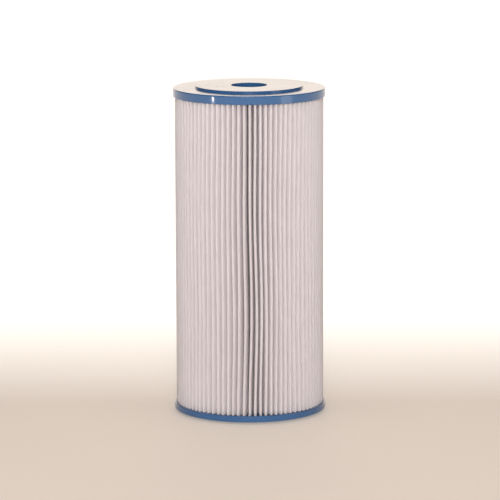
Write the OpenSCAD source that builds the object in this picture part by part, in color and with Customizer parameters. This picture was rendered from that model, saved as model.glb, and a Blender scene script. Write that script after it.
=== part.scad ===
// Pleated filter cartridge: fabric folded into a ring of deep pleats round a
// perforated core, and potted into a moulded end cap at each end.
// The axis is Z and the lower seal face lies at z = 0. Sizes are millimetres.

/* [Overall] */
// Diameter of both end caps
cap_d = 114.3; // [92:0.1:160]
// Height from the lower seal face to the upper one
overall_h = 247.65; // [120:0.05:520]
// Diameter of the hole through each end cap
bore_d = 27; // [18:0.1:34]

/* [End caps] */
// Diameter of the raised seal disc round the hole
seal_d = 81; // [60:0.5:86]
// How far the seal disc stands proud of the cap's face
seal_rise = 1.6; // [0.8:0.1:4]
// Thickness of the cap's face
face_wall = 2; // [1.2:0.1:3]
// Depth of the upper cap's rim band
top_band_h = 6.4; // [5:0.1:16]
// Depth of the lower cap's rim band
bottom_band_h = 4.7; // [4.4:0.1:16]
// Thickness of the rim that stands round the pleat tips
rim_wall = 1.2; // [0.8:0.1:3]
// Rounding where the cap's face turns into its rim
rim_round = 0.8; // [0.2:0.1:1.2]
// Rounding of the seal disc's edges
seal_round = 0.4; // [0.1:0.1:0.7]
// Height of the collar that centres the core tube
collar_h = 6; // [3:0.5:12]
// Thickness of that collar
collar_wall = 1.6; // [1:0.1:2.5]

/* [Core tube] */
// Width of the ledge between the cap's hole and the core tube's bore
core_ledge = 5.5; // [4:0.1:9]
// Thickness of the core tube
core_wall = 2; // [1.2:0.1:3]
// Width of a window, across the tube
window_w = 7; // [3:0.5:9]
// Height of a window, along the tube
window_h = 9; // [4:0.5:20]
// Height of the band left between two rows of windows
window_bridge = 3.5; // [2:0.5:10]
// Windows in one row, an even number
windows_round = 8; // [4:2:10]

/* [Pleat pack] */
// Number of pleats round the core
pleats = 84; // [40:1:101]
// Thickness of the fabric
media_t = 0.5; // [0.3:0.05:0.6]
// Inside radius of a pleat's outer fold
tip_inside = 0.65; // [0.3:0.05:0.8]
// Inside radius of a pleat's inner fold
root_inside = 0.12; // [0.05:0.01:0.15]
// Depth of the glue strip that joins the fabric's two ends
seam_depth = 8; // [3:0.5:15]

/* [Potting and fits] */
// How far the potting stops below the rim's edge
potting_step = 0.6; // [0.3:0.1:1.2]
// Potting left between the cap's inner face and the pleat ends
potting_bed = 0.8; // [0.4:0.1:1.2]
// Gap between the pleat tips and the rim
tip_gap = 0.2; // [0.1:0.05:1]
// Gap between the core tube and the inner folds
pack_gap = 0.3; // [0.1:0.05:1]
// Gap between the collar and the core tube's bore
collar_gap = 0.15; // [0.05:0.05:0.5]

/* [Hidden] */
$fn = 144;

// Colours of the pieces
CAP_BLUE = [0.33, 0.48, 0.66];
POTTING_BLUE = [0.20, 0.30, 0.48];
FABRIC_WHITE = [0.93, 0.91, 0.90];
GLUE_CREAM = [0.90, 0.86, 0.76];
CORE_WHITE = [0.86, 0.87, 0.88];

// Straight steps that stand for a rounded edge, and for a fold
ROUND_STEPS = 5;
FOLD_STEPS = 4;
// How far a cutter runs past what it cuts
CUT_PAST = 1;

// Radii
cap_r = cap_d / 2;
rim_in_r = cap_r - rim_wall;
bore_r = bore_d / 2;
seal_r = seal_d / 2;
core_in_r = bore_r + core_ledge;
core_out_r = core_in_r + core_wall;
collar_r = core_in_r - collar_gap;

// Heights, all measured from the seal face of the cap they belong to
cap_floor = seal_rise + face_wall;
pleat_start = cap_floor + potting_bed;

function rim_edge(band_h) = seal_rise + band_h;

// Heights, measured from the lower seal face
core_len = overall_h - 2 * cap_floor;
pleat_len = overall_h - 2 * pleat_start;

// The rows of windows fill the core between the two collars
window_pitch = window_h + window_bridge;
window_span = core_len - 2 * (collar_h + window_bridge);
window_rows = floor((window_span + window_bridge) / window_pitch);
window_turn = 180 / windows_round;

// Folds: each one bends round a centre of its own, and a straight flank runs
// from the side of an outer fold to the side of the next inner fold
tip_r = tip_inside + media_t;
root_r = root_inside + media_t;
tip_centre_r = rim_in_r - tip_gap - tip_r;
root_centre_r = core_out_r + pack_gap + root_r;
pleat_turn = 360 / pleats;
seam_turn = 90;
flank_run = polar(root_centre_r, pleat_turn / 2) - [tip_centre_r, 0];
flank_offset = tip_r + root_r - media_t;
fold_turn = atan2(flank_run[1], flank_run[0]) - acos(flank_offset / norm(flank_run));

function polar(r, a) = [r * cos(a), r * sin(a)];

function arc(centre, r, from, to, steps) =
    [for (i = [0:steps]) centre + polar(r, from + (to - from) * i / steps)];

function backwards(points) = [for (i = [len(points) - 1:-1:0]) points[i]];

// Direction of pleat k, counted round from the seam
function pleat_at(k) = seam_turn + k * pleat_turn;

// The outer fold of pleat k, at radius r round the fold's centre
function tip_fold(k, r) =
    arc(polar(tip_centre_r, pleat_at(k)), r,
        pleat_at(k) - fold_turn, pleat_at(k) + fold_turn, FOLD_STEPS);

// The inner fold between pleats k and k + 1
function root_fold(k, r) =
    arc(polar(root_centre_r, pleat_at(k + 0.5)), r,
        pleat_at(k) + fold_turn + 180, pleat_at(k + 1) - fold_turn + 180, FOLD_STEPS);

// A free edge of the fabric, beside the seam: side is 1 or -1
function seam_edge(side, r) =
    polar(tip_centre_r, seam_turn) + polar(r, seam_turn + side * fold_turn);

// One face of the fabric, from the seam all the way round to the seam
function fabric_face(at_tip, at_root) = concat(
    [seam_edge(1, at_tip)],
    [for (k = [0:pleats - 2]) each concat(root_fold(k, at_root), tip_fold(k + 1, at_tip))],
    root_fold(pleats - 1, at_root),
    [seam_edge(-1, at_tip)]
);

module fabric_outline() {
    polygon(concat(
        fabric_face(tip_r, root_inside),
        backwards(fabric_face(tip_inside, root_r))
    ));
}

// The glue strip fills the space between the fabric's first and last flanks
module seam_outline() {
    function inner_end(side) =
        seam_edge(side, tip_inside)
        + polar(seam_depth, seam_turn + side * (fold_turn + 90));
    polygon([seam_edge(1, tip_inside), inner_end(1), inner_end(-1), seam_edge(-1, tip_inside)]);
}

module ring(outer_r, inner_r, h) {
    linear_extrude(h) difference() {
        circle(outer_r);
        circle(inner_r);
    }
}

// Moves a piece of the lower end to the upper end
module at_top() {
    translate([0, 0, overall_h]) mirror([0, 0, 1]) children();
}

// A cap with its seal face at z = 0 and its rim standing up
module end_cap(band_h) {
    edge = rim_edge(band_h);
    rim_tip_r = rim_wall / 2;
    rotate_extrude() polygon(concat(
        arc([bore_r + seal_round, seal_round], seal_round, 180, 270, ROUND_STEPS),
        arc([seal_r - seal_round, seal_round], seal_round, 270, 360, ROUND_STEPS),
        [[seal_r, seal_rise]],
        arc([cap_r - rim_round, seal_rise + rim_round], rim_round, 270, 360, ROUND_STEPS),
        arc([cap_r - rim_tip_r, edge - rim_tip_r], rim_tip_r, 0, 180, 2 * ROUND_STEPS),
        [
            [rim_in_r, cap_floor],
            [collar_r, cap_floor],
            [collar_r, cap_floor + collar_h],
            [collar_r - collar_wall, cap_floor + collar_h],
            [collar_r - collar_wall, cap_floor],
            [bore_r, cap_floor],
        ]
    ));
}

// The compound that fills a cap and grips the core and the pleat ends
module potting(band_h) {
    translate([0, 0, cap_floor]) difference() {
        ring(rim_in_r, core_out_r, rim_edge(band_h) - potting_step - cap_floor);
        translate([0, 0, potting_bed]) linear_extrude(band_h) {
            fabric_outline();
            seam_outline();
        }
    }
}

module top_end_cap() {
    color(CAP_BLUE) at_top() end_cap(top_band_h);
}

module bottom_end_cap() {
    color(CAP_BLUE) end_cap(bottom_band_h);
}

module top_potting() {
    color(POTTING_BLUE) at_top() potting(top_band_h);
}

module bottom_potting() {
    color(POTTING_BLUE) potting(bottom_band_h);
}

module pleat_pack() {
    color(FABRIC_WHITE)
        translate([0, 0, pleat_start]) linear_extrude(pleat_len) fabric_outline();
}

module side_seam() {
    color(GLUE_CREAM)
        translate([0, 0, pleat_start]) linear_extrude(pleat_len) seam_outline();
}

module core_tube() {
    color(CORE_WHITE) difference() {
        translate([0, 0, cap_floor]) ring(core_out_r, core_in_r, core_len);
        for (row = [0:window_rows - 1], i = [0:windows_round / 2 - 1])
            translate([0, 0, overall_h / 2 + (row - (window_rows - 1) / 2) * window_pitch])
                rotate([0, 0, (2 * i + row % 2) * window_turn])
                    cube([2 * (core_out_r + CUT_PAST), window_w, window_h], center = true);
    }
}

top_end_cap();
bottom_end_cap();
top_potting();
bottom_potting();
pleat_pack();
side_seam();
core_tube();
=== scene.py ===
"""A pleated filter cartridge standing on a pale studio floor.

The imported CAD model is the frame. The fabric, the caps, the potting and the glue strip are
built here at full detail, in the places that the CAD pieces hold. Lengths are in metres.
"""

import math

import bpy
import numpy as np
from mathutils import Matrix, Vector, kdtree


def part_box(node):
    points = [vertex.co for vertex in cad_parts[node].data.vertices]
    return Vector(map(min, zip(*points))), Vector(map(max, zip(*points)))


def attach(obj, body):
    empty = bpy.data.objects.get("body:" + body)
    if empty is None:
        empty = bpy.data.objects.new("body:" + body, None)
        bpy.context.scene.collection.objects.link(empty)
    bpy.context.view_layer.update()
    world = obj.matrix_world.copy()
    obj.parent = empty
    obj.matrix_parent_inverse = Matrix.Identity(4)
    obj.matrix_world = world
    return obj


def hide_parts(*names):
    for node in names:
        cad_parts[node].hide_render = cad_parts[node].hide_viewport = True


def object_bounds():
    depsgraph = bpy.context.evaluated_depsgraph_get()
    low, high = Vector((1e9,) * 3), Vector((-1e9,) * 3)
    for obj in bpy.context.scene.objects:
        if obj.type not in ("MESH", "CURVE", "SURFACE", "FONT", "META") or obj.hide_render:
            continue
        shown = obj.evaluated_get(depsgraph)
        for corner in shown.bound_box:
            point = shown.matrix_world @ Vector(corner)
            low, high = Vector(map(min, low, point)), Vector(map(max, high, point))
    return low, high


MM = 0.001
SEED = 20

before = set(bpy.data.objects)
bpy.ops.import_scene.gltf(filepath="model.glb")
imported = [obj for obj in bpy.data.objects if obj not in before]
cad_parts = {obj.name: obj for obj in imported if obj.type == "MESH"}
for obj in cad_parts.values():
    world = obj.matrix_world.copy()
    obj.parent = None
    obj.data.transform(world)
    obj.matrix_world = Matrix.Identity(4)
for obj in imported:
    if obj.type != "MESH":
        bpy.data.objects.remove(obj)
cap_low, cap_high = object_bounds()
rng = np.random.default_rng(SEED)

CAP_R = cap_high.x
HEIGHT = cap_high.z

# The end caps, as in the CAD model
BORE_R = 13.5 * MM
SEAL_R = 40.5 * MM
SEAL_RISE = 1.6 * MM
FACE_WALL = 2.0 * MM
BOTTOM_BAND_H = 4.7 * MM
TOP_BAND_H = 6.4 * MM
RIM_WALL = 1.2 * MM
COLLAR_H = 6.0 * MM
COLLAR_WALL = 1.6 * MM
COLLAR_GAP = 0.15 * MM
CORE_LEDGE = 5.5 * MM
CORE_WALL = 2.0 * MM
CAP_FLOOR = SEAL_RISE + FACE_WALL
RIM_IN_R = CAP_R - RIM_WALL
CORE_IN_R = BORE_R + CORE_LEDGE
CORE_OUT_R = CORE_IN_R + CORE_WALL

# Roundings of the cap's edges
RIM_ROUND = 0.8 * MM
SEAL_ROUND = 0.4 * MM
LIP_ROUND = 0.35 * MM
CORNER_ROUND = 0.15 * MM
CAP_SEGMENTS = 288

# The fabric and its folds. TIP is an outer fold and ROOT an inner one
PLEATS = 84
FABRIC_T = 0.5 * MM
TIP_INSIDE = 0.45 * MM
ROOT_INSIDE = 0.12 * MM
TIP_GAP = 0.2 * MM
PACK_GAP = 0.3 * MM

# How finely the folded sheet is drawn
SHEET_ROWS = 24
TIP_STEPS = 6
ROOT_STEPS = 4
FLANK_POINTS = 6

# The seam. On each side of it the folds take SEAM_CALM pleats to grow as uneven as elsewhere
SEAM_TURN = math.radians(90)
SEAM_DEPTH = 8.0 * MM
SEAM_CALM = 4
BEAD_STEPS = 6
BEAD_BULGE = 0.35 * MM
BEAD_UNEVEN = 0.10 * MM

# How far the tips wander from even spacing. Neighbours are linked, a part of the wander is the
# same at all heights, and the rest changes from one station up the pack to the next. It fades
# to WANDER_AT_TOP of itself at the top, and the inner folds follow it by ROOT_WANDER
WANDER_TURN = math.radians(0.9)
WANDER_LINK = 0.80
WANDER_KEPT = 0.62
WANDER_STATIONS = 4
WANDER_AT_TOP = 0.35
ROOT_WANDER = 0.10

# A slow sway of each tip, in waves over the pack's height
SWAY_TURN = math.radians(0.14)
FEWEST_SWAYS = 0.8
MOST_SWAYS = 2.2

# The least and most that two neighbouring tips stand apart
TIGHTEST_TURN = math.radians(3.2)
WIDEST_TURN = math.radians(5.3)

# How much the outer folds differ in depth and width, and how far the two flanks beside a gap
# belly into it or out of it
TIP_SINK = 0.25 * MM
TIP_WIDTH_SPREAD = 0.16
TIP_WIDTH_LIMIT = 1.5
FLANK_BELLY = 0.15 * MM

# A pleat's two flanks bend together, in a bow, which is one hump, and a curl, which is an S.
# An angle shares the bend out between them. It is SHAPE_FRONT at the front, makes SHAPE_WAVES
# turns round the ring, and drifts a little from pleat to pleat and with height
BOW = 3.0 * MM
CURL = 1.8 * MM
SHAPE_WAVES = 3
SHAPE_FRONT = math.radians(112)
SHAPE_LINK = 0.98
SHAPE_DRIFT = 0.3

# The core's broken edges
CORE_EDGE = 0.15 * MM

# The potting. It climbs where it meets the fabric and the rim, and dips between them
POTTING_STEP = 0.15 * MM
POTTING_WAVE = 0.12 * MM
POTTING_WAVES = 3
POTTING_SPOKES = PLEATS * 11
POTTING_RINGS = 30
RIM_CROWDING = 0.6
CLIMB_H = 0.3 * MM
CLIMB_DIP = 1 / 3
CLIMB_REACH = 0.35 * MM
MEASURE_STEP = 0.4 * MM

# The floor. Its glow is painted light, an emission of its own that is no lamp. It is at GLOW_LEAST in
# front of the cartridge, as painted shade there, and grows to full between GLOW_NEAR and GLOW_FAR
# behind it, or between the two ring distances on any side
FLOOR_HALF = 4.0
FLOOR_COLOUR = (0.94, 0.785, 0.66)
GLOW_COLOUR = (1.0, 0.92, 0.84)
GLOW_STRENGTH = 1.25
GLOW_LEAST = 0.22
GLOW_NEAR = 0.02
GLOW_FAR = 0.36
GLOW_RING_NEAR = 0.45
GLOW_RING_FAR = 1.3
GLOW_POWER = 1.05

# The world's light, and where it fades in, as ranges of the direction's Y or Z
ROOM_LIGHT = (0.075, 0.072, 0.073)
HORIZON_LIGHT = (0.52, 0.50, 0.48)
BACKDROP_LIGHT = (1.68, 1.46, 1.24)
HORIZON_FADE = (0.35, 0.0)
BACKDROP_SIDES = (0.72, 0.95)
BACKDROP_TOP = (0.75, 0.35)
LAMP_COLOUR = (1, 0.98, 0.96)

# The camera, which looks a little down on the cartridge from far away
CAMERA_BACK = 2.366
CAMERA_UP = 0.5358
CAMERA_TILT = math.radians(9.918)
CAMERA_ROLL = math.radians(0.174)
CAMERA_TURN = math.radians(-0.0381)
CAMERA_LENS = 228.9
CAMERA_SENSOR = 36
CAMERA_NEAREST = 0.05
CAMERA_FARTHEST = 50


# ---------------------------------------------------------------- meshes


def make_object(name, vertices, faces, material, sharp_turn=math.radians(38)):
    """A smooth-shaded mesh object whose edges past sharp_turn stay crisp."""
    mesh = bpy.data.meshes.new(name)
    mesh.from_pydata([tuple(v) for v in vertices], [], faces)
    mesh.validate()
    mesh.polygons.foreach_set("use_smooth", [True] * len(mesh.polygons))
    mesh.set_sharp_from_angle(angle=sharp_turn)
    mesh.materials.append(material)
    obj = bpy.data.objects.new(name, mesh)
    bpy.context.scene.collection.objects.link(obj)
    return obj


def keep(piece, node):
    """Every piece rides on the one body and stands in for a CAD node, which is hidden."""
    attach(piece, "root")
    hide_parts(node)


def at(radius, turn):
    return np.array([radius * math.cos(turn), radius * math.sin(turn)])


def part_way(start, end, distance):
    """The point that lies this distance from start on the way to end."""
    return start + (end - start) / np.linalg.norm(end - start) * distance


def arc(centre, radius, first, last, steps):
    """Points on an arc in the (r, z) plane; the angles are in degrees."""
    turns = np.radians(np.linspace(first, last, steps + 1))
    return [(centre[0] + radius * math.cos(t), centre[1] + radius * math.sin(t)) for t in turns]


def with_support(outline, near=0.08 * MM, long_edge=0.6 * MM):
    """The closed outline with a point close to each end of its long edges.

    The points keep the smooth shading at the corners out of the flat faces."""
    held = []
    for (r0, z0), (r1, z1) in zip(outline, outline[1:] + outline[:1]):
        held.append((r0, z0))
        length = math.hypot(r1 - r0, z1 - z0)
        if length > long_edge:
            step = near / length
            held.append((r0 + (r1 - r0) * step, z0 + (z1 - z0) * step))
            held.append((r1 - (r1 - r0) * step, z1 - (z1 - z0) * step))
    return held


def lathe(name, outline, material, flip_from=None):
    """A closed outline turned round Z. With flip_from, it hangs upside down from that height."""
    points = np.array(with_support(outline))
    rings = len(points)
    turns = np.linspace(0, 2 * math.pi, CAP_SEGMENTS, endpoint=False)
    r = points[:, 0][None, :]
    z = points[:, 1] if flip_from is None else flip_from - points[:, 1]
    x = np.cos(turns)[:, None] * r
    y = np.sin(turns)[:, None] * r
    vertices = np.stack([x, y, np.broadcast_to(z, x.shape)], axis=-1).reshape(-1, 3)
    faces = []
    for i in range(CAP_SEGMENTS):
        here, there = i * rings, (i + 1) % CAP_SEGMENTS * rings
        for j in range(rings):
            k = (j + 1) % rings
            face = (here + j, there + j, there + k, here + k)
            faces.append(face if flip_from is None else face[::-1])
    return make_object(name, vertices, faces, material)


def ring_faces(layers, width, closed):
    """Quads between each layer of points and the next. A closed stack joins its last to its first."""
    faces = []
    for layer in range(layers if closed else layers - 1):
        here, there = layer * width, (layer + 1) % layers * width
        for i in range(width):
            j = (i + 1) % width
            faces.append((here + i, here + j, there + j, there + i))
    return faces


# ---------------------------------------------------------------- materials


class Nodes:
    """A node tree, emptied, and short ways to add nodes to it."""

    def __init__(self, owner):
        owner.use_nodes = True
        self.tree = owner.node_tree
        self.tree.nodes.clear()

    def add(self, kind, **settings):
        node = self.tree.nodes.new(kind)
        for name, value in settings.items():
            setattr(node, name, value)
        return node

    def link(self, a, b):
        self.tree.links.new(a, b)

    def spread(self, value, low, high, from_low=0.3, from_high=0.7, kind="LINEAR"):
        """value, moved from one range to another. A noise lies mostly between 0.3 and 0.7."""
        node = self.add("ShaderNodeMapRange", interpolation_type=kind)
        names = ("From Min", "From Max", "To Min", "To Max")
        for name, number in zip(names, (from_low, from_high, low, high)):
            node.inputs[name].default_value = number
        self.link(value, node.inputs["Value"])
        return node.outputs[0]

    def math(self, operation, a, b):
        node = self.add("ShaderNodeMath", operation=operation)
        for socket, value in zip(node.inputs, (a, b)):
            if isinstance(value, (int, float)):
                socket.default_value = value
            else:
                self.link(value, socket)
        return node.outputs[0]

    def blend(self, factor, a, b):
        """A mix of two colours, each a tuple or a socket."""
        node = self.add("ShaderNodeMix", data_type="RGBA")
        self.link(factor, node.inputs["Factor"])
        for name, value in (("A", a), ("B", b)):
            socket = next(s for s in node.inputs if s.name == name and s.type == "RGBA")
            if isinstance(value, tuple):
                socket.default_value = (*value, 1.0)
            else:
                self.link(value, socket)
        return next(s for s in node.outputs if s.type == "RGBA")


class Shader(Nodes):
    """A new material with a Principled shader, laid out in the object's own coordinates."""

    def __init__(self, name, **fixed):
        self.material = bpy.data.materials.new(name)
        super().__init__(self.material)
        self.output = self.add("ShaderNodeOutputMaterial")
        self.bsdf = self.add("ShaderNodeBsdfPrincipled")
        self.link(self.bsdf.outputs[0], self.output.inputs["Surface"])
        for socket, value in fixed.items():
            self.bsdf.inputs[socket.replace("_", " ")].default_value = value
        self.place = self.add("ShaderNodeTexCoord").outputs["Object"]

    def cover(self, share, shader):
        """Mixes a second shader over the first, by a number or a socket."""
        mix = self.add("ShaderNodeMixShader")
        if isinstance(share, (int, float)):
            mix.inputs["Fac"].default_value = share
        else:
            self.link(share, mix.inputs["Fac"])
        self.link(self.bsdf.outputs[0], mix.inputs[1])
        self.link(shader.outputs[0], mix.inputs[2])
        self.link(mix.outputs[0], self.output.inputs["Surface"])

    def stretched(self, scale):
        """Object coordinates, scaled differently along each axis."""
        node = self.add("ShaderNodeMapping")
        node.inputs["Scale"].default_value = scale
        self.link(self.place, node.inputs["Vector"])
        return node.outputs[0]

    def noise(self, scale, detail=3.0, roughness=0.5, distortion=0.0, place=None):
        node = self.add("ShaderNodeTexNoise")
        node.inputs["Scale"].default_value = scale
        node.inputs["Detail"].default_value = detail
        node.inputs["Roughness"].default_value = roughness
        node.inputs["Distortion"].default_value = distortion
        self.link(place or self.place, node.inputs["Vector"])
        return node.outputs[0]

    def bump(self, height, strength, distance, under=None):
        node = self.add("ShaderNodeBump")
        node.inputs["Strength"].default_value = strength
        node.inputs["Distance"].default_value = distance
        self.link(height, node.inputs["Height"])
        if under is not None:
            self.link(under, node.inputs["Normal"])
        return node.outputs[0]


def cap_plastic():
    """Glossy blue moulded plastic with faint turning marks from the mould and light handling marks."""
    s = Shader("cap_plastic", IOR=1.5, Coat_Weight=0.15, Coat_Roughness=0.03, Coat_IOR=1.5)
    cloud = s.spread(s.noise(38, detail=2), 0, 1)
    blue = s.blend(cloud, (0.030, 0.106, 0.262), (0.037, 0.122, 0.290))
    s.link(blue, s.bsdf.inputs["Base Color"])
    rub = s.spread(s.noise(240, detail=4, place=s.stretched((1, 1, 4))), 0.0, 0.05)
    smear = s.spread(s.noise(30, detail=2), 0.10, 0.15)
    s.link(s.math("ADD", rub, smear), s.bsdf.inputs["Roughness"])
    marks = s.add("ShaderNodeTexWave", wave_type="RINGS", rings_direction="Z")
    marks.inputs["Scale"].default_value = 900
    marks.inputs["Distortion"].default_value = 0.6
    s.link(s.place, marks.inputs["Vector"])
    turned = s.bump(marks.outputs["Fac"], 0.01, 0.01 * MM)
    peel = s.bump(s.noise(420, detail=2), 0.03, 0.02 * MM, under=turned)
    s.link(peel, s.bsdf.inputs["Normal"])
    return s.material


def potting_compound():
    """Blue cast compound, satin, with a few small bubbles. Its blue is darker than the cap's: partly
    the compound's own colour, partly painted shade for the shaded notches between the folds.
    """
    s = Shader("potting_compound", IOR=1.48)
    cloud = s.spread(s.noise(120, detail=3), 0, 1)
    # partly the compound's own blue, partly painted shade: darkened to deepen the shaded notches
    # between the folds
    blue_with_painted_shade = s.blend(cloud, (0.016, 0.042, 0.105), (0.026, 0.062, 0.145))
    s.link(blue_with_painted_shade, s.bsdf.inputs["Base Color"])
    s.link(s.spread(s.noise(300, detail=3), 0.25, 0.42), s.bsdf.inputs["Roughness"])
    pits = s.add("ShaderNodeTexVoronoi")
    pits.inputs["Scale"].default_value = 700
    s.link(s.place, pits.inputs["Vector"])
    low = s.spread(pits.outputs["Distance"], 0, 1, 0.0, 0.35)
    s.link(s.bump(low, 0.25, 0.15 * MM), s.bsdf.inputs["Normal"])
    return s.material


def filter_fabric():
    """White spun-bonded polyester: cloudy, faintly fibrous, and thin enough to let light through."""
    s = Shader("filter_fabric", IOR=1.45)
    s.bsdf.inputs["Sheen Weight"].default_value = 0.12
    s.bsdf.inputs["Specular IOR Level"].default_value = 0.25
    flock_place = s.stretched((1, 1, 0.35))
    flock = s.noise(260, detail=4, roughness=0.6, distortion=0.8, place=flock_place)
    cloud = s.noise(55, detail=2)
    both = s.math("ADD", s.math("MULTIPLY", flock, 0.6), s.math("MULTIPLY", cloud, 0.4))
    thick = s.spread(both, 0, 1, 0.35, 0.65)
    white = s.blend(thick, (0.93, 0.895, 0.915), (0.96, 0.935, 0.95))
    s.link(white, s.bsdf.inputs["Base Color"])
    s.link(s.spread(flock, 0.72, 0.92), s.bsdf.inputs["Roughness"])
    fibre_place = s.stretched((1, 1, 0.45))
    fibres = s.noise(1500, detail=6, roughness=0.65, distortion=2.2, place=fibre_place)
    s.link(s.bump(fibres, 0.15, 0.08 * MM), s.bsdf.inputs["Normal"])
    through = s.add("ShaderNodeBsdfTranslucent")
    through.inputs["Color"].default_value = (0.98, 0.955, 0.965, 1)
    s.cover(0.64, through)
    return s.material


def seam_glue():
    """Hot-melt glue, cream and slightly glossy, with ripples from the nozzle."""
    s = Shader("seam_glue", IOR=1.48)
    s.bsdf.inputs["Subsurface Weight"].default_value = 0.2
    s.bsdf.inputs["Subsurface Scale"].default_value = 1.0 * MM
    cloud = s.spread(s.noise(150, detail=3), 0, 1)
    s.link(s.blend(cloud, (0.74, 0.66, 0.50), (0.80, 0.74, 0.60)), s.bsdf.inputs["Base Color"])
    s.link(s.spread(s.noise(400, detail=2), 0.30, 0.48), s.bsdf.inputs["Roughness"])
    ripples = s.noise(500, detail=2, place=s.stretched((1, 1, 2.5)))
    s.link(s.bump(ripples, 0.3, 0.2 * MM), s.bsdf.inputs["Normal"])
    return s.material


def core_plastic():
    """Natural white moulded plastic with a fine matt grain."""
    s = Shader("core_plastic", IOR=1.49)
    cloud = s.spread(s.noise(45, detail=3), 0, 1)
    s.link(s.blend(cloud, (0.66, 0.68, 0.69), (0.74, 0.75, 0.76)), s.bsdf.inputs["Base Color"])
    s.link(s.spread(s.noise(220, detail=3), 0.34, 0.50), s.bsdf.inputs["Roughness"])
    s.link(s.bump(s.noise(900, detail=3), 0.12, 0.06 * MM), s.bsdf.inputs["Normal"])
    return s.material


# ---------------------------------------------------------------- the end caps


def cap_outline(band_h):
    """The cap's section as (r, z), with its seal face at z = 0 and its rim standing up."""
    edge = SEAL_RISE + band_h
    collar_r = CORE_IN_R - COLLAR_GAP
    outline = arc((BORE_R + SEAL_ROUND, SEAL_ROUND), SEAL_ROUND, 180, 270, 6)
    outline += arc((SEAL_R - SEAL_ROUND, SEAL_ROUND), SEAL_ROUND, 270, 360, 6)
    outline += arc((SEAL_R + CORNER_ROUND, SEAL_RISE - CORNER_ROUND), CORNER_ROUND, 180, 90, 4)
    outline += arc((CAP_R - RIM_ROUND, SEAL_RISE + RIM_ROUND), RIM_ROUND, 270, 360, 8)
    outline += arc((CAP_R - LIP_ROUND, edge - LIP_ROUND), LIP_ROUND, 0, 90, 5)
    outline += arc((RIM_IN_R + CORNER_ROUND, edge - CORNER_ROUND), CORNER_ROUND, 90, 180, 3)
    outline += [
        (RIM_IN_R, CAP_FLOOR),
        (collar_r, CAP_FLOOR),
        (collar_r, CAP_FLOOR + COLLAR_H),
        (collar_r - COLLAR_WALL, CAP_FLOOR + COLLAR_H),
        (collar_r - COLLAR_WALL, CAP_FLOOR),
        (BORE_R, CAP_FLOOR),
    ]
    return outline


def build_caps(material):
    lower = lathe("bottom_end_cap_shell", cap_outline(BOTTOM_BAND_H), material)
    upper = lathe("top_end_cap_shell", cap_outline(TOP_BAND_H), material, flip_from=HEIGHT)
    keep(lower, "bottom_end_cap")
    keep(upper, "top_end_cap")


# ---------------------------------------------------------------- the fabric


def ring_noise(count, link=WANDER_LINK):
    """Random values round the ring, each linked to its neighbours: mean nought, deviation one."""
    values = rng.standard_normal(count)
    for _ in range(2):
        for i in range(count):
            values[i] = link * values[i - 1] + math.sqrt(1 - link**2) * values[i]
    values -= values.mean()
    return values / values.std()


def seam_hold():
    """Nought at the seam, rising to one a few pleats away from it, so that the seam runs straight."""
    from_seam = np.minimum(np.arange(PLEATS), PLEATS - np.arange(PLEATS))
    return np.clip(from_seam / SEAM_CALM, 0, 1)


def pleat_directions(heights):
    """The direction of each pleat's tip, one row per height (0 at the bottom, 1 at the top)."""
    shared = WANDER_KEPT * ring_noise(PLEATS)
    own_share = math.sqrt(1 - WANDER_KEPT**2)
    stations = [shared + own_share * ring_noise(PLEATS) for _ in range(WANDER_STATIONS)]
    beats = rng.uniform(FEWEST_SWAYS, MOST_SWAYS, PLEATS)
    phases = rng.uniform(0, 2 * math.pi, PLEATS)
    rows = []
    for h in heights:
        place = h * (len(stations) - 1)
        i = min(int(place), len(stations) - 2)
        step = place - i
        step = step * step * (3 - 2 * step)
        wander = stations[i] * (1 - step) + stations[i + 1] * step
        sway = np.sin(2 * math.pi * beats * h + phases)
        order = 1 - (1 - WANDER_AT_TOP) * h**3
        offset = (WANDER_TURN * wander + SWAY_TURN * sway) * order * seam_hold()
        even = np.arange(PLEATS + 1) * 2 * math.pi / PLEATS
        turns = even + np.append(offset, offset[0])
        gaps = np.clip(np.diff(turns), TIGHTEST_TURN, WIDEST_TURN)
        gaps *= 2 * math.pi / gaps.sum()
        rows.append(SEAM_TURN + np.concatenate([[0], np.cumsum(gaps)[:-1]]))
    return np.array(rows)


def side_normal(tip, root, reach, side):
    """The direction square to the straight flank between two folds that bend opposite ways."""
    run = root - tip
    return math.atan2(run[1], run[0]) - side * math.acos(reach / math.hypot(*run))


def fold_centres(tip_turns, tip_sinks, tip_insides):
    """Where the outer folds bend, where the inner folds bend, and the outer folds' middle radii.

    The first pleat comes again at the end, one full turn on."""
    root_r = CORE_OUT_R + PACK_GAP + ROOT_INSIDE + FABRIC_T
    pack_r = RIM_IN_R - TIP_GAP
    turn = 2 * math.pi / PLEATS
    tips, roots, tip_mid = [], [], []
    for k in range(PLEATS + 1):
        i = k % PLEATS
        lap = 2 * math.pi * (k // PLEATS)
        tip_mid.append(tip_insides[i] + FABRIC_T / 2)
        tips.append(at(pack_r - tip_sinks[i] - tip_insides[i] - FABRIC_T, tip_turns[i] + lap))
        following = tip_turns[(i + 1) % PLEATS] + (2 * math.pi if i == PLEATS - 1 else 0)
        even = SEAM_TURN + (i + 0.5) * turn
        middle = (tip_turns[i] + following) / 2
        roots.append(at(root_r, even + ROOT_WANDER * (middle - even)))
    return tips, roots, tip_mid


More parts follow.
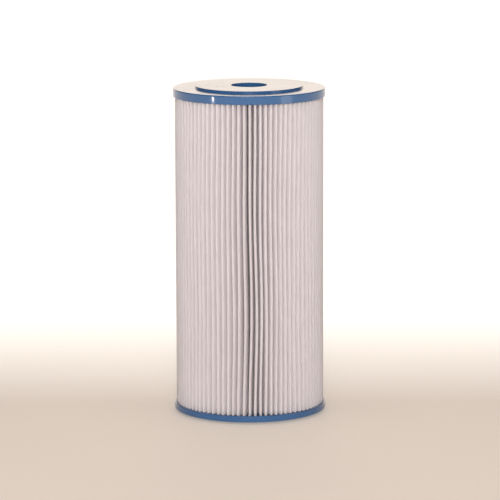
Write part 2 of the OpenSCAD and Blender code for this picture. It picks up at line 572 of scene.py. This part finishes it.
def fold_row(tip_turns, tip_sinks, tip_insides, bellies, lays, shapes):
    """The fabric's two faces at one height, each a list of points from the seam round to the seam.

    lays says how far each pleat bows and curls, and shapes how much it does of either."""
    half_t = FABRIC_T / 2
    root_mid_r = ROOT_INSIDE + half_t
    tips, roots, tip_mid = fold_centres(tip_turns, tip_sinks, tip_insides)
    flank_shares = np.arange(1, FLANK_POINTS + 1) / (FLANK_POINTS + 1)
    outer, inner = [], []

    def put(centre, turn, radius, bend):
        """One step of a fold; bend is 1 in an outer fold and -1 in an inner one."""
        way = at(1, turn)
        outer.append(centre + way * (radius + bend * half_t))
        inner.append(centre + way * (radius - bend * half_t))

    def flank(k, normal, root, belly, side):
        """The flank between outer fold k and root; side is 1 on the way in and -1 on the way out."""
        way = at(1, normal)
        start, end = tips[k] + way * tip_mid[k], root - way * root_mid_r
        i = k % PLEATS
        bow = belly + side * lays[i] * BOW * math.cos(shapes[i])
        curl = side * lays[i] * CURL * math.sin(shapes[i])
        for share in flank_shares[::side]:
            push = bow * math.sin(math.pi * share) ** 2 + curl * math.sin(2 * math.pi * share)
            middle = start + (end - start) * share + way * push
            outer.append(middle + way * half_t)
            inner.append(middle - way * half_t)

    for k in range(PLEATS):
        leaving = side_normal(tips[k], roots[k], tip_mid[k] + root_mid_r, 1)
        arriving = side_normal(tips[k + 1], roots[k], tip_mid[k + 1] + root_mid_r, -1)
        if k == 0:
            put(tips[0], leaving, tip_mid[0], 1)
        flank(k, leaving, roots[k], bellies[k], 1)
        first = leaving + math.pi
        sweep = (first - arriving - math.pi) % (2 * math.pi)
        for i in range(ROOT_STEPS + 1):
            put(roots[k], first - sweep * i / ROOT_STEPS, root_mid_r, -1)
        flank(k + 1, arriving, roots[k], bellies[k], -1)
        if k == PLEATS - 1:
            put(tips[PLEATS], arriving, tip_mid[PLEATS], 1)
        else:
            onward = side_normal(tips[k + 1], roots[k + 1], tip_mid[k + 1] + root_mid_r, 1)
            sweep = (onward - arriving) % (2 * math.pi)
            for i in range(TIP_STEPS + 1):
                put(tips[k + 1], arriving + sweep * i / TIP_STEPS, tip_mid[k + 1], 1)
    return np.array(outer), np.array(inner)


def fold_sheet():
    """The two faces of the folded sheet at each height, and the heights."""
    low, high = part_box("pleat_pack")
    shares = np.linspace(0, 1, SHEET_ROWS)
    turns = pleat_directions(shares)
    hold = seam_hold()
    sink = np.abs(ring_noise(PLEATS)) * TIP_SINK * hold / 2
    uneven = np.clip(rng.standard_normal(PLEATS), -TIP_WIDTH_LIMIT, TIP_WIDTH_LIMIT)
    width = 1 + TIP_WIDTH_SPREAD * uneven * hold
    belly = FLANK_BELLY * np.clip(rng.standard_normal((2, PLEATS)), -1, 1) * hold
    from_front = np.arange(PLEATS) / PLEATS - 0.5
    shape = [SHAPE_DRIFT * ring_noise(PLEATS, SHAPE_LINK) for _ in range(2)]
    shape[0] += SHAPE_FRONT + 2 * math.pi * SHAPE_WAVES * from_front
    rows = []
    for share, row_turns in zip(shares, turns):
        bellies = belly[0] * math.cos(math.pi * share) + belly[1] * math.sin(math.pi * share)
        shapes = shape[0] + shape[1] * (share - 0.5)
        rows.append(fold_row(row_turns, sink, TIP_INSIDE * width, bellies, hold, shapes))
    return rows, low.z + shares * (high.z - low.z)


def sheet_mesh(rows, heights):
    """The folded sheet as a closed solid: its outer face, its inner face, its edges and its ends."""
    count = len(rows[0][0])
    vertices = []
    for (outer, inner), z in zip(rows, heights):
        vertices += [(x, y, z) for x, y in outer]
        vertices += [(x, y, z) for x, y in inner]
    faces = []
    layer = 2 * count
    for row in range(len(rows) - 1):
        here, above = row * layer, (row + 1) * layer
        for i in range(count - 1):
            faces.append((here + i, here + i + 1, above + i + 1, above + i))
            j = count + i
            faces.append((here + j + 1, here + j, above + j, above + j + 1))
        last, back = count - 1, 2 * count - 1
        faces.append((here + count, here, above, above + count))
        faces.append((here + last, here + back, above + back, above + last))
    top = (len(rows) - 1) * layer
    for i in range(count - 1):
        j = count + i
        faces.append((i + 1, i, j, j + 1))
        faces.append((top + i, top + i + 1, top + j + 1, top + j))
    return vertices, faces


def build_fabric(material):
    rows, heights = fold_sheet()
    vertices, faces = sheet_mesh(rows, heights)
    pack = make_object("pleated_fabric", vertices, faces, material, sharp_turn=math.radians(60))
    keep(pack, "pleat_pack")
    return rows, heights


def build_seam(rows, heights, material):
    """The glue strip between the fabric's first and last flanks, with an uneven outer bead."""
    wave = rng.standard_normal(len(heights))
    vertices = []
    for (_, inner), z, w in zip(rows, heights, wave):
        first, last = inner[0], inner[-1]
        bulge = BEAD_BULGE + BEAD_UNEVEN * w
        out = (first + last) / 2 / np.linalg.norm((first + last) / 2)
        for i in range(BEAD_STEPS + 1):
            share = i / BEAD_STEPS
            point = first + (last - first) * share + out * bulge * math.sin(math.pi * share)
            vertices.append((*point, z))
        vertices.append((*part_way(last, inner[-2], SEAM_DEPTH), z))
        vertices.append((*part_way(first, inner[1], SEAM_DEPTH), z))
    ring = BEAD_STEPS + 3
    faces = ring_faces(len(heights), ring, closed=False)
    faces.append(tuple(range(ring))[::-1])
    faces.append(tuple((len(heights) - 1) * ring + i for i in range(ring)))
    bead = make_object("side_seam_glue", vertices, faces, material, sharp_turn=math.radians(50))
    keep(bead, "side_seam")


# ---------------------------------------------------------------- the potting


def sheet_points(row):
    """Points along the sheet at one height, close enough together to measure distances to it."""
    middle = (row[0] + row[1]) / 2
    points = []
    for a, b in zip(middle[:-1], middle[1:]):
        pieces = max(1, int(np.linalg.norm(b - a) / MEASURE_STEP))
        points += [a + (b - a) * i / pieces for i in range(pieces)]
    return points


def build_potting(name, node, row, level, floor, material):
    """A ring of compound that climbs a little up the fabric and up the rim.

    level is the height of its open face and floor that of the cap's inner face."""
    way = 1 if level > floor else -1
    points = sheet_points(row)
    tree = kdtree.KDTree(len(points))
    for i, (x, y) in enumerate(points):
        tree.insert((x, y, 0), i)
    tree.balance()
    shares = np.linspace(0, 1, POTTING_RINGS) ** RIM_CROWDING
    radii = CORE_OUT_R + (RIM_IN_R - CORE_OUT_R) * shares
    phases = rng.uniform(0, 2 * math.pi, POTTING_WAVES)
    vertices = []
    for i in range(POTTING_SPOKES):
        turn = 2 * math.pi * i / POTTING_SPOKES
        wave = sum(math.sin((n + 2) * turn + p) for n, p in enumerate(phases)) / POTTING_WAVES
        for r in radii:
            x, y = at(r, turn)
            gap = max(0.0, min(tree.find((x, y, 0))[2] - FABRIC_T / 2, RIM_IN_R - r))
            climb = CLIMB_H * (math.exp(-gap / CLIMB_REACH) - CLIMB_DIP)
            vertices.append((x, y, level + way * (climb + POTTING_WAVE * wave)))
        vertices.append((*at(RIM_IN_R, turn), floor))
        vertices.append((*at(CORE_OUT_R, turn), floor))
    faces = ring_faces(POTTING_SPOKES, POTTING_RINGS + 2, closed=True)
    if way == -1:
        faces = [face[::-1] for face in faces]
    piece = make_object(name, vertices, faces, material, sharp_turn=math.radians(70))
    keep(piece, node)


# ---------------------------------------------------------------- the core


def dress_core(material):
    """The core tube is the CAD piece itself, with its edges broken and a material of its own."""
    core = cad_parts["core_tube"]
    core.data.materials.clear()
    core.data.materials.append(material)
    bevel = core.modifiers.new("broken_edges", "BEVEL")
    bevel.width = CORE_EDGE
    bevel.segments = 2
    bevel.limit_method = "ANGLE"
    bevel.angle_limit = math.radians(50)
    bevel.harden_normals = True


# ---------------------------------------------------------------- the stage


def stage_material():
    """A warm pale floor with painted light: an emission glow brightens it to white a little way behind
    the cartridge, and it stays dim in front of and close round the cartridge as painted shade.
    """
    s = Shader("stage_floor", Roughness=0.65)
    s.bsdf.inputs["Base Color"].default_value = (*FLOOR_COLOUR, 1)
    split = s.add("ShaderNodeSeparateXYZ")
    s.link(s.place, split.inputs[0])
    behind = s.spread(split.outputs["Y"], GLOW_LEAST, 1, GLOW_NEAR, GLOW_FAR)
    far = s.add("ShaderNodeVectorMath", operation="LENGTH")
    s.link(s.place, far.inputs[0])
    around = s.spread(far.outputs["Value"], 0, 1, GLOW_RING_NEAR, GLOW_RING_FAR)
    # painted light: the floor glows though it is no lamp, dim in front of and round the cartridge as
    # painted shade, full behind it
    painted_glow = s.add("ShaderNodeEmission")
    painted_glow.inputs["Color"].default_value = (*GLOW_COLOUR, 1)
    painted_glow.inputs["Strength"].default_value = GLOW_STRENGTH
    s.cover(s.math("POWER", s.math("MAXIMUM", behind, around), GLOW_POWER), painted_glow)
    return s.material


def build_stage():
    corners = [(x * FLOOR_HALF, y * FLOOR_HALF, 0) for x, y in ((-1, -1), (1, -1), (1, 1), (-1, 1))]
    floor = make_object("floor", corners, [(0, 1, 2, 3)], stage_material())


def build_world():
    """Dim soft light from everywhere, pale at the horizon, and a bright backdrop behind."""
    world = bpy.data.worlds.new("studio")
    bpy.context.scene.world = world
    n = Nodes(world)
    split = n.add("ShaderNodeSeparateXYZ")
    n.link(n.add("ShaderNodeTexCoord").outputs["Generated"], split.inputs[0])

    def ramp(axis, first, last):
        return n.spread(split.outputs[axis], 0, 1, first, last, kind="SMOOTHSTEP")

    backdrop = n.math("MULTIPLY", ramp("Y", *BACKDROP_SIDES), ramp("Z", *BACKDROP_TOP))
    around = n.blend(ramp("Z", *HORIZON_FADE), ROOM_LIGHT, HORIZON_LIGHT)
    light = n.add("ShaderNodeBackground")
    n.link(n.blend(backdrop, around, BACKDROP_LIGHT), light.inputs["Color"])
    n.link(light.outputs[0], n.add("ShaderNodeOutputWorld").inputs["Surface"])


def soft_light(name, azimuth, height, distance, size, power, seen="all"):
    """An area light that faces the cartridge. Azimuth 0 is the camera's side, positive to the right.

    seen says what it lights: "all", "gloss" for reflections alone, or "matt" for all but those."""
    data = bpy.data.lights.new(name, "AREA")
    data.shape = "RECTANGLE"
    data.size, data.size_y = size
    data.energy = power
    data.color = LAMP_COLOUR
    light = bpy.data.objects.new(name, data)
    turn = math.radians(azimuth)
    light.location = (distance * math.sin(turn), -distance * math.cos(turn), height)
    aim = HEIGHT / 2 - height
    light.rotation_euler = (math.pi / 2 + math.atan2(aim, distance), 0, turn)
    light.visible_camera = False
    light.visible_diffuse = seen != "gloss"
    light.visible_transmission = seen != "gloss"
    light.visible_glossy = seen != "matt"
    bpy.context.scene.collection.objects.link(light)


def build_camera():
    data = bpy.data.cameras.new("camera")
    data.lens = CAMERA_LENS
    data.sensor_width = CAMERA_SENSOR
    data.clip_start, data.clip_end = CAMERA_NEAREST, CAMERA_FARTHEST
    camera = bpy.data.objects.new("camera", data)
    camera.location = (0, -CAMERA_BACK, CAMERA_UP)
    camera.rotation_euler = (math.pi / 2 - CAMERA_TILT, CAMERA_ROLL, CAMERA_TURN)
    bpy.context.scene.collection.objects.link(camera)
    bpy.context.scene.camera = camera


# ---------------------------------------------------------------- all of it

build_camera()
build_stage()
build_world()
soft_light("front_softbox", azimuth=-2, height=0.95, distance=1.9, size=(0.8, 0.9), power=9)
soft_light(
    "front_strip", azimuth=0, height=0.75, distance=2.6, size=(0.40, 0.7), power=36, seen="matt"
)
soft_light("top_softbox", azimuth=0, height=1.7, distance=0.05, size=(1.0, 1.0), power=6)
soft_light(
    "left_glint", azimuth=-55, height=0.049, distance=1.6, size=(0.03, 0.003), power=0.4, seen="gloss"
)
soft_light(
    "right_softbox", azimuth=57, height=0.2, distance=1.7, size=(0.55, 0.9), power=4, seen="gloss"
)
bpy.context.scene.view_settings.view_transform = "Standard"

build_caps(cap_plastic())
sheet_rows, sheet_heights = build_fabric(filter_fabric())
build_seam(sheet_rows, sheet_heights, seam_glue())
compound = potting_compound()
build_potting(
    "bottom_potting_ring",
    "bottom_potting",
    sheet_rows[0],
    SEAL_RISE + BOTTOM_BAND_H - POTTING_STEP,
    CAP_FLOOR,
    compound,
)
build_potting(
    "top_potting_ring",
    "top_potting",
    sheet_rows[-1],
    HEIGHT - SEAL_RISE - TOP_BAND_H + POTTING_STEP,
    HEIGHT - CAP_FLOOR,
    compound,
)
dress_core(core_plastic())
